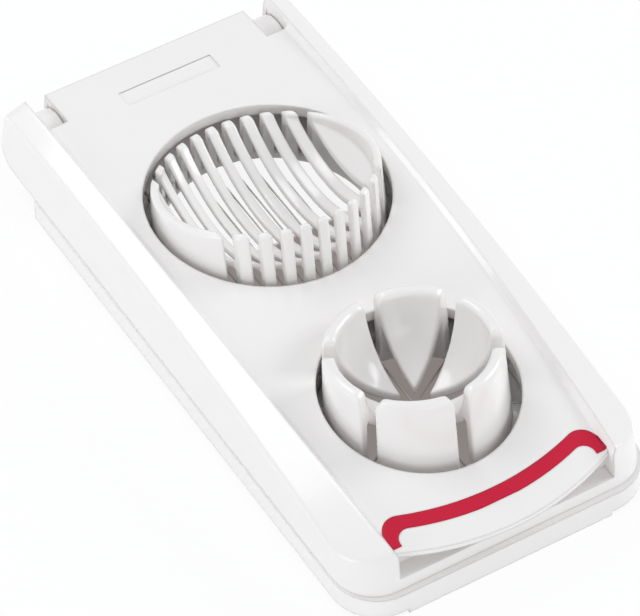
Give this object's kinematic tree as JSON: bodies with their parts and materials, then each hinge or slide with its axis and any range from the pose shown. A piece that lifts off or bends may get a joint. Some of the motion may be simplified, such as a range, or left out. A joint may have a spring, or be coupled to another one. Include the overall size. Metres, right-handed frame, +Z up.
{
  "type": "egg slicer",
  "caption": "Hinged egg cutter: one slatted bowl slices an egg and one petal bowl wedges it as the wired lid swings through.",
  "frame": {"origin": "centre of the footprint on the table", "axes": "+Z up, +Y towards the hinge, X across"},
  "size_m": [0.0976, 0.202, 0.048],
  "materials": {
    "white_plastic": "glossy moulded plastic",
    "red_plastic": "glossy moulded plastic inlay",
    "pin_steel": "drawn steel",
    "wire_steel": "drawn stainless wire"
  },
  "bodies": {
    "base": {"base_tray": "white_plastic", "slicer_cup": "white_plastic", "wedge_cup": "white_plastic", "hinge_pin_right": "pin_steel", "hinge_pin_left": "pin_steel"},
    "lid": {"lid_cover": "white_plastic", "grip_inlay": "red_plastic", "wire_frame": "white_plastic", "slicer_wire_01": "wire_steel", "slicer_wire_02": "wire_steel", "slicer_wire_03": "wire_steel", "slicer_wire_04": "wire_steel", "slicer_wire_05": "wire_steel", "slicer_wire_06": "wire_steel", "slicer_wire_07": "wire_steel", "slicer_wire_08": "wire_steel", "slicer_wire_09": "wire_steel", "slicer_wire_10": "wire_steel", "wedge_wire_1": "wire_steel", "wedge_wire_2": "wire_steel", "wedge_wire_3": "wire_steel"}
  },
  "joints": [
    {"name": "lid_hinge", "type": "hinge", "parent": "base", "child": "lid", "pos_m": [0, 0.0915, 0.017], "axis": [-1, 0, 0], "range_deg": [0, 100]}
  ]
}
